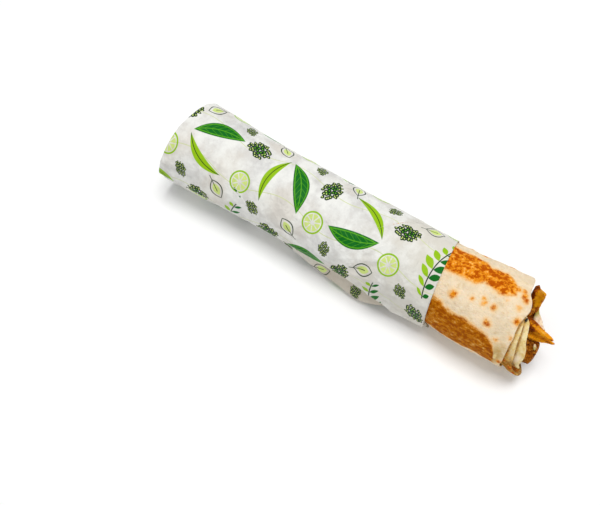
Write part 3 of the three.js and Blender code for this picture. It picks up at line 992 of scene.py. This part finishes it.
# The painted shade of the dark hollow inside the second turn's lobe: its bell, where it starts
# and stops before the end, and the value elsewhere.
HOLLOW, HOLLOW_STARTS, HOLLOW_STOPS, NO_HOLLOW = Bell(218, 34, 12.0), (9, 4), (0.8, 2.2), -7.0
INNER_DARK, INNER_LAYER = 1.5, 1.8


def patch_bell(along, angle, form, place, spread):
    """A bell of the angle times a bell along the roll."""
    return bell(angle, form) * hump(along, place, spread)


def bread_looks(along, angle, turns, end):
    """Depth in a scorched patch, darkness and layer number, of the outer and inner side.
    The layer number is 0 on the outer turn and 1 farther in, plus golden stains of fat, a
    painted shade and a painted shadow along each covering edge. A negative darkness on the
    third turn paints a highlight, and the inner side's depth paints the hollow's shade."""
    depth, dark = toasted(along, angle, BANDS, OUTER_SPOTS)
    depth_below, dark_below = toasted(along, angle, (), SECOND_LAYER_SPOTS)
    outermost = turns < 1.0
    depth = np.where(outermost, depth, np.where(turns < 2, depth_below, UNTOASTED))
    dark = np.where(outermost, dark, dark_below)
    # The painted highlight on the third turn's bulge, stored as a negative darkness.
    dark = np.where(turns > 2, patch_bell(along, angle, *BULGE_HIGHLIGHT), dark)
    golden = smooth(along, *GOLDEN_FROM) * (turns < 2) * bell(angle, GOLDEN)
    shaded = SHADOW * hump(along - bread_end(angle, turns - 1), SHADOW_PAST, SHADOW_SPREAD)
    # On the outer turn the painted low-side shade; farther in golden fat stains and the painted
    # shadow.
    stains_and_painted_shade = np.where(outermost, patch_bell(along, angle, *LOW_SIDE_SHADE), golden + shaded)
    layer = smooth(turns, 0.85, 1.1) + stains_and_painted_shade
    # The hollow's painted shade, stored on the inner side as depth in a greasy scorched patch.
    first, last = HOLLOW_STARTS
    hollow = bell(angle, HOLLOW) * smooth(along, end - first, end - last)
    hollow = hollow * smooth(end - along, *HOLLOW_STOPS) + NO_HOLLOW
    painted_hollow_shade = np.where((turns > 1) & (turns < 2), hollow, UNTOASTED)
    inside = [painted_hollow_shade, INNER_DARK + 0 * layer, INNER_LAYER + 0 * layer]
    return np.dstack([depth, dark, layer]), np.dstack(inside)


# %% The bread's two sides
def bread_surfaces():
    """Grid of (along, turns). Outer side: the roll's form at the layer's depth. Inner
    side: the same, a thickness deeper. At the mouth both close in on a half circle. Also
    gives the looks of both sides."""
    steps = BREAD_STEPS
    outer_turn = np.linspace(0, 1, steps["outer"], endpoint=False)
    turns = np.concatenate([outer_turn, np.linspace(1, BREAD_TURNS, steps["inner"])])
    angle = BREAD_SEAM_ANGLE - turns * TURN
    half = BREAD_THICKNESS / 2

    start = paper_start(angle) + TUCK_THICKNESS + TUCK_DEPTH + 2 * CLEARANCE
    edge = np.stack([turns * RAGGED_PER_TURN, 0 * turns, 0 * turns], -1)
    end = bread_end(angle, turns) + RAGGED_HEIGHT * lumps(edge, RAGGED_SIZE, 5)
    hidden = np.linspace(0, 1, steps["hidden"], endpoint=False)[:, None]
    seen = np.linspace(0, 1, steps["seen"], endpoint=False)[:, None]
    bend = np.linspace(0, np.pi / 2, steps["edge"])[:, None]
    along = np.concatenate([
        start + hidden * (HIDDEN_UP_TO - start),
        HIDDEN_UP_TO + seen * (end - half - HIDDEN_UP_TO),
        end - half + half * np.sin(bend),
    ])
    thin = np.concatenate([1 + 0 * hidden, 1 + 0 * seen, np.cos(bend)])

    outside, inside = bread_looks(along, angle, turns, end)
    middle = bread_depth(turns) + half
    place = roll_point(along, angle, middle)
    shown = smooth(along, PAPER_LENGTH - 1, PAPER_LENGTH + 5)
    blisters = sum(height * rough(place, *lump) for height, *lump in BLISTERS)
    puffed = PUFF * smooth(outside[..., 0], -1.5, 1.5) * (np.abs(turns - 0.5) < 0.5)
    lift = bread_lump(along, angle) + bread_flare(along, angle, turns)
    lift = lift + (blisters * np.where(turns < 1, 1.0, INNER_BLISTERS) + puffed) * shown
    sides = [roll_point(along, angle, middle + half * side * thin, lift) for side in (-1, 1)]
    return sides, [outside, inside]


# %% Make the bread
sides, looks = bread_surfaces()
add_piece("bread_roll", [slab(*sides)], "flatbread",
          {"scorch": np.concatenate(looks)}, flatbread_finish())

# %% [markdown]
# ## Sticks of food
#
# Fries, onion and the thick slice of meat are bars: rings along a line, each a rounded
# square that narrows towards the tip. They could be modelled by hand, but one formula
# makes them all. Roughness drawn out along the stick gives the ridges of fried skin. Each
# point also stores how near a corner it is, because a fry browns there, and how soaked.

# %% A stick between two places
THIN_START = 0.4
ROUNDING_REACH, ROUNDING_LOSS = 1.3, 0.7
SKIN_STRETCH, SKIN_LUMP = 0.3, 2.4
CORNER_REACH = (1.03, 1.17)
WET_TIP, WET_TIP_SHARES = 0.5, (0.92, 1.0)


def in_roll(along, degrees, radius):
    """A place in the filling, at a radius from the roll's middle line."""
    angle = np.radians(degrees)
    return np.array([along, radius * np.cos(angle), radius * np.sin(angle)])


def stick(start, end, width, height, tip, narrow_from=0.62, widen_to=0.0, soaked=(2.0, 3.0),
          lean=0.0, bow=0.0, sway=0.0, curl=0.0, square=4.0, uneven=0.2, ragged=0.0, slant=0.0,
          seed=1, steps=(90, 60)):
    """Rings at start + share * (end - start), each |y|^p + |z|^p = 1 scaled by the width
    and height, which shrink to the share tip, and grow from a thin start up to the share
    widen_to. Bow arches the stick upwards and sway sideways, and curl rolls its cross-
    section by curl * (2 z / height)^2. Ragged ends are pushed along it by lumps, and slant
    cuts the first end askew. Also gives how near a corner each point is, how soaked it is
    (sooner on one side with lean), and how far its skin is out."""
    axis = end - start
    length = np.linalg.norm(axis)
    forward = axis / length
    side = np.cross([0, 0, 1], forward)
    side /= np.linalg.norm(side)
    up = np.cross(forward, side)
    share = np.linspace(0, 1, steps[0])[:, None]
    around = np.linspace(0, TURN, steps[1], endpoint=False)
    cosine, sine = np.cos(around), np.sin(around)
    reach = (np.abs(cosine) ** square + np.abs(sine) ** square) ** (-1 / square)
    size = 1 + (tip - 1) * np.clip((share - narrow_from) / (1 - narrow_from), 0, 1)
    size = size * (1 - (1 - THIN_START) * smooth(widen_to - share, 0, widen_to or 1.0))
    from_end = np.clip(np.minimum(share, 1 - share) * length / ROUNDING_REACH, 0, 1)
    size = reach * size * (1 - (1 - from_end) ** 2 * ROUNDING_LOSS) ** 0.5
    z = size * sine * height / 2
    y = size * cosine * width / 2 + curl * ((2 * z / height) ** 2 - 0.5)
    drawn_out = np.dstack([share * length * SKIN_STRETCH + 0 * y, y, z])
    skin = rough(drawn_out, SKIN_LUMP, seed, octaves=4)
    arch = 4 * share * (1 - share)
    y = y + uneven * skin * cosine + sway * arch
    z = z + uneven * skin * sine + bow * arch
    x = share * length + ragged * skin * (1 - from_end)
    x = x + slant * reach * cosine * np.clip(1 - 3 * share, 0, 1)
    points = start + x[..., None] * forward + y[..., None] * side + z[..., None] * up
    corner = np.broadcast_to(smooth(reach, *CORNER_REACH), y.shape)
    wet = smooth(share - lean * cosine, *soaked)
    wet = np.maximum(wet, WET_TIP * smooth(share, *WET_TIP_SHARES))
    return points, np.dstack([corner, wet, skin])


def add_stick(name, slot, node, material, start, end, size, tip, **shape):
    rings, looks = stick(in_roll(*start), in_roll(*end), *size, tip, **shape)
    add_piece(name, [bar(rings)], node, {"looks": with_poles(looks)}, material)


# %% Fried potato
def fried_potato(name, *golds_and_highlight):
    """Golden faces in two shades, with a painted highlight on the raised skin, that brown at
    corners and blisters, dark where sauce soaked in."""
    fry = Finish(name, food(1.45, 0.07, 0.15, 0.0012, (1.0, 0.45, 0.1),
                            **{"Coat Roughness": 0.25}))
    corner, soaked, skin, _ = fry.coordinates("looks")
    place = fry.place()
    grain = fry.noise(place, 0.8, 4, 0.7)
    cloud = fry.noise(place, 3.2)
    browned = corner * 0.3 + soaked * 0.9 - skin * 0.3 + grain * 0.8 + cloud * 0.7
    tint = fry.coats(
        golds_and_highlight[0],
        (cloud.ramp(-0.3, 0.35), golds_and_highlight[1]),
        # Painted highlight where the skin stands up.
        ((skin + grain * 1.4).ramp(0.2, 0.9) * 0.7, golds_and_highlight[2]),
        (browned.ramp(0.3, 0.9), colour(160, 76, 0)),
        (browned.ramp(0.75, 1.35), colour(92, 34, 0)),
    )
    fry.feed("Coat Weight", cloud.ramp(0.0, 0.5) * 0.2)
    return fry.done(tint, grain * 0.14 + 0.42, grain + fry.cells(place, 1.1)[0] * 0.5, 0.3)


# %% Make the fries
# Each: two golds, then the colour of the painted highlight.
fried = fried_potato("fried_potato", colour(246, 164, 16), colour(224, 138, 8),
                     colour(248, 196, 96))
crisp = fried_potato("crisp_potato", colour(226, 152, 2), colour(190, 116, 0),
                     colour(238, 176, 36))
add_stick("fry_lying_across", "fries", "fry_across", crisp, (206.5, 44, 22.5), (207.2, 21, 4.6),
          size=(6.6, 6.0), tip=0.86, soaked=(0.05, 0.5), lean=0.5, square=6.0, uneven=0.4,
          ragged=2.0, slant=1.1, seed=154)
add_stick("fry_point_above", "fries", "fry_pointed_upper", fried, (188, 80, 10.6),
          (223.5, 102, 9.8), size=(6.2, 4.3), tip=0.25, narrow_from=0.58, soaked=(0.78, 0.62),
          uneven=0.5, seed=41)
add_stick("fry_point_below", "fries", "fry_pointed_lower", fried, (188, 228, 1.8),
          (225.2, 108, 5.6), size=(6.4, 4.1), tip=0.16, narrow_from=0.72, soaked=(0.62, 0.5),
          uneven=0.7, seed=51)


# %% Onion
def cooked_onion():
    """Pale and moist: light goes in, faint veins run through it, and the soaked end is
    green."""
    onion = Finish("cooked_onion", food(1.4, 0.5, 0.4, 0.0012, (1.0, 0.9, 0.5)))
    _, green, skin, _ = onion.coordinates("looks")
    veins = onion.noise(onion.place(), 1.3, 3)
    tint = onion.coats(
        colour(244, 226, 196),
        (veins.ramp(-0.3, 0.4), colour(222, 190, 158)),
        ((green + skin * 0.3).ramp(0.0, 0.9), colour(178, 164, 78)),
    )
    return onion.done(tint, veins * 0.08 + 0.32, veins, 0.2)


# %% Make the onion
onion = cooked_onion()
add_stick("onion_curl", "onion", "onion_strip", onion, (210.4, 37, 12.6), (218.0, 86, 10.0),
          size=(3.8, 3.4), tip=0.25, narrow_from=0.6, widen_to=0.5, soaked=(0.6, 0.1), bow=-0.3,
          sway=-2.1, curl=0.9, square=2.4, uneven=0.25, seed=61)
add_stick("onion_piece", "onion", "onion_bit", onion, (216.8, 148, 7.6), (218.2, 162, 9.4),
          size=(1.6, 1.15), tip=0.6, soaked=(-1.0, 1.6), bow=0.3, uneven=0.35, seed=71)

# %% [markdown]
# ## Doner meat
#
# Inside the roll the filling is a packed mass. At the mouth it breaks up into thin
# shavings that lie mostly along the roll, and one thick slice reaches out. Sculpting
# would not follow the bread when it changes, so the mass is a bar with a rough face, and
# each shaving a flattened craggy bar, pressed against the bread where it reaches past it.

# %% Sizes of the filling
FILLING_DEPTH = 2 * BREAD_PITCH + BREAD_THICKNESS + CLEARANCE
FILLING_START = TUCK_THICKNESS + TUCK_DEPTH + 3 * CLEARANCE
FILLING_DENT = Bell(218, 30, 4.5)
CORE_INSET, FACE_INSET, SHAVING_INSET = 0.6, 0.5, 0.1
FACE_ALONG, FACE_SLANT, FACE_OPENING = 196.0, 11.0, 8.0
# Crags of the face: height, size and seed.
CORE_CRAGS = ((1.3, 6.0, 81), (0.5, 1.8, 85))
CORE_STEPS = {"hidden": 9, "fine": 40, "face": 30, "round": 100}
SEEN_FROM = 186.0
SHAVING_COUNT, SHAVING_SIZE, SHAVING_CRAG = 15, (22, 9.2, 4.6), 0.2
SHAVING_SINK, SHAVING_SPREAD, SHAVING_TILT = 3.0, 15.5, 1.1
GOLDEN_ANGLE = np.radians(137.5)
CRAG_LARGE, CRAG_SMALL, CRAG_STRETCH = 3.6, 1.3, 0.5


def filling_face(angle, share):
    nearness = (1 - share * np.cos(angle - END_FAR_ANGLE)) / 2
    return FACE_ALONG + FACE_SLANT * nearness


def filling_wall(along, angle, inset):
    """The bread's inner side, a gap farther in, with room for the bread's folded lobe."""
    opened = smooth(along, FACE_ALONG - FACE_OPENING, FACE_ALONG + FACE_OPENING)
    depth = FILLING_DEPTH + bell(angle, FILLING_DENT) * opened + inset
    return roll_point(along, angle, depth, bread_lump(along, angle))


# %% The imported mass
def packed_core():
    """Rings along the wall, coarse where hidden, then rings closing over the face. The
    face is the slanted plane, moved in and out by two sizes of lumps."""
    angle = np.linspace(0, TURN, CORE_STEPS["round"], endpoint=False)
    start = paper_start(angle) + FILLING_START
    face = filling_face(angle, 1.0) - FACE_INSET
    hidden = np.linspace(0, 1, CORE_STEPS["hidden"], endpoint=False)[:, None]
    fine = np.linspace(0, 1, CORE_STEPS["fine"])[:, None]
    along = [start + hidden * (SEEN_FROM - start), SEEN_FROM + fine * (face - SEEN_FROM)]
    wall = filling_wall(np.concatenate(along), angle, CORE_INSET)
    share = np.linspace(1, 0.02, CORE_STEPS["face"])[1:, None]
    cap = filling_wall(face, angle, CORE_INSET) * share[..., None]
    cap[..., 0] = filling_face(angle, share) - FACE_INSET
    crags = sum(height * rough(cap, *lump) for height, *lump in CORE_CRAGS)
    cap[..., 0] += crags * (1 - share**6)
    return np.concatenate([wall, cap])


# %% Shavings
def dice(seed):
    """Repeatable random numbers between 0 and 1: each is 16807 times the last, modulo
    2^31 - 1."""
    while True:
        seed = seed * 16807 % 2147483647
        yield seed / 2147483647


def craggy_ball(size, seed, crag, steps=(46, 46)):
    """Rings of a ball, flattened to size. Lumps of two sizes, drawn out along the ball's
    length like the fibres of meat, change its radius."""
    polar = np.linspace(0.05, np.pi - 0.05, steps[0])[:, None]
    around = np.linspace(0, TURN, steps[1], endpoint=False)
    ball = np.stack(np.broadcast_arrays(-np.cos(polar), np.sin(polar) * np.cos(around),
                                        np.sin(polar) * np.sin(around)), axis=-1)
    points = ball * np.array(size) / 2
    fibres = points * [CRAG_STRETCH, 1, 1]
    skin = rough(fibres, CRAG_LARGE, seed) + 0.5 * rough(fibres, CRAG_SMALL, seed + 5)
    return points * (1 + crag * skin[..., None]), np.dstack([0 * skin, 0 * skin, skin])


def shaving_rings():
    """Shavings spread over the face by the golden angle, each turned at random, and held
    inside the bread by scaling points past the wall back to it."""
    random = dice(20)
    for i in range(SHAVING_COUNT):
        share = np.sqrt((i + 0.5) / SHAVING_COUNT)
        angle = i * GOLDEN_ANGLE
        along = filling_face(angle, share) - SHAVING_SINK * next(random)
        roll, pitch, yaw = (next(random) for _ in range(3))
        turns = Euler((roll * TURN, (pitch - 0.5) * SHAVING_TILT, (yaw - 0.5) * SHAVING_TILT))
        points, looks = craggy_ball(SHAVING_SIZE, 100 + 10 * i, SHAVING_CRAG)
        points = points @ np.array(turns.to_matrix()).T
        points += in_roll(along, np.degrees(angle), SHAVING_SPREAD * share)
        reach = np.linalg.norm(points[..., 1:], axis=-1)
        around = np.arctan2(points[..., 2], points[..., 1])
        wall = filling_wall(points[..., 0], around, SHAVING_INSET)
        held = np.minimum(1, np.linalg.norm(wall[..., 1:], axis=-1) / reach)
        points[..., 1:] *= held[..., None]
        yield points, looks


# %% Meat finish
def browned_meat():
    """Brown crust over red-brown meat, with near-black low pits of char and painted shade, a
    painted highlight on the raised fibres, and a wet shine in places."""
    meat = Finish("browned_meat", food(1.45, 0.1, 0.06, 0.001, (1.0, 0.35, 0.15),
                                       **{"Coat Roughness": 0.2}))
    _, _, skin, _ = meat.coordinates("looks")
    place = meat.place()
    grain = meat.noise(place, 1.1, 4, 0.7) * 2.3 + skin * 0.5
    cloud = meat.noise(place, 3.5)
    tint = meat.coats(
        colour(176, 98, 8),
        (cloud.ramp(-0.3, 0.3), colour(142, 72, 4)),
        # Painted highlight where the surface stands up.
        ((grain + cloud * 0.3).ramp(0.1, 0.8), colour(222, 148, 40)),
        # Near-black where the surface dips: char, and painted shade in the pits.
        ((grain + cloud * 0.5).ramp(-0.1, -0.7), colour(50, 20, 2)),
    )
    meat.feed("Coat Weight", cloud.ramp(0.15, 0.5) * 0.25)
    relief = grain * 0.6 + meat.cells(place, 1.3)[0] * 0.5
    return meat.done(tint, grain * 0.12 + 0.48, relief, 0.7)


# %% Make the meat
browned = browned_meat()
add_piece("meat_packed", [bar(packed_core())], "doner_meat", {}, browned)
shavings = list(shaving_rings())
looks = np.concatenate([with_poles(own) for _, own in shavings])
add_piece("meat_shavings", [bar(rings) for rings, _ in shavings], "doner_meat",
          {"looks": looks}, browned)
add_stick("meat_thick_slice", "meat", "doner_meat", browned, (196, 198, 8.8), (220.1, 198, 9.2),
          size=(13.2, 7.8), tip=0.92, narrow_from=0.75, square=3.2, uneven=0.9, seed=91,
          steps=(110, 110))


# %% Charred speck
def char():
    """Burnt black, lighter on its blisters with ash and a painted dull shine."""
    burnt = Finish("char", {"IOR": 1.5})
    ash_and_shine = burnt.noise(burnt.place(), 0.5)
    # Lighter on raised blisters: ash, and a painted dull shine.
    tint = burnt.mix(ash_and_shine.ramp(-0.2, 0.6), colour(12, 8, 8), colour(44, 34, 30))
    return burnt.done(tint, ash_and_shine * 0.2 + 0.5, ash_and_shine, 0.2)


SPECK_CRAG, SPECK_STEPS, SPECK_SHRINK = 0.12, (16, 20), 0.95

speck, _ = craggy_ball(SPECK_SIZE, 131, SPECK_CRAG, SPECK_STEPS)
speck = speck * SPECK_SHRINK + speck_on_roll
add_piece("charred_speck", [bar(speck)], "char_speck", {}, char())

# %% [markdown]
# ## Floor, light and camera
#
# A white floor and a bright, even sky keep the shadows soft, as on a set for food
# pictures. One large lamp from above and a little behind gives the paper its soft shading
# and draws a faint shadow along the near side. The camera looks down on the roll.

# %% Floor
FLOOR_HALF = 3.0

floor_mesh = bpy.data.meshes.new("floor")
corners = [(x * FLOOR_HALF, y * FLOOR_HALF, 0) for x, y in ((-1, -1), (1, -1), (1, 1), (-1, 1))]
floor_mesh.from_pydata(corners, [], [(0, 1, 2, 3)])
floor_finish = Finish("pale_floor", {"Base Color": (0.95, 0.95, 0.95, 1), "Roughness": 0.6})
floor_mesh.materials.append(floor_finish.material)
placed("floor", floor_mesh)

# %% Light
LAMP_PLACE, LAMP_TARGET = Vector((0.03, 0.16, 1.25)), Vector((0, 0, 0.02))
LAMP_SIZE, LAMP_POWER = 0.5, 9.3
SKY_STRENGTH = 0.57

lamp = bpy.data.lights.new("key", "AREA")
lamp.size = LAMP_SIZE
lamp.energy = LAMP_POWER
holder = placed("key", lamp)
holder.location = LAMP_PLACE
holder.rotation_euler = (LAMP_TARGET - LAMP_PLACE).to_track_quat("-Z", "Y").to_euler()

sky = bpy.data.worlds.new("sky")
sky.use_nodes = True
background = sky.node_tree.nodes["Background"].inputs
background["Color"].default_value = (1, 1, 1, 1)
background["Strength"].default_value = SKY_STRENGTH
bpy.context.scene.world = sky
bpy.context.scene.view_settings.view_transform = "Standard"

# %% Camera
AZIMUTH, ELEVATION, TILT = 38.98, 69.80, -7.44
DISTANCE = 0.42997
FOCAL_PIXELS = 804.05
PICTURE_WIDTH = 600
TARGET = (-0.02187, -0.02451, 0.02312)


def turned(degrees, axis):
    return Matrix.Rotation(np.radians(degrees), 4, axis)


lens = bpy.data.cameras.new("camera")
lens.sensor_width = 36
lens.lens = FOCAL_PIXELS / PICTURE_WIDTH * lens.sensor_width
camera = placed("camera", lens)
aim = turned(AZIMUTH, "Z") @ turned(90 - ELEVATION, "X") @ turned(TILT, "Z")
camera.matrix_world = Matrix.Translation(TARGET) @ aim @ Matrix.Translation((0, 0, DISTANCE))
bpy.context.scene.camera = camera
print("lens:", round(lens.lens, 2), "mm")
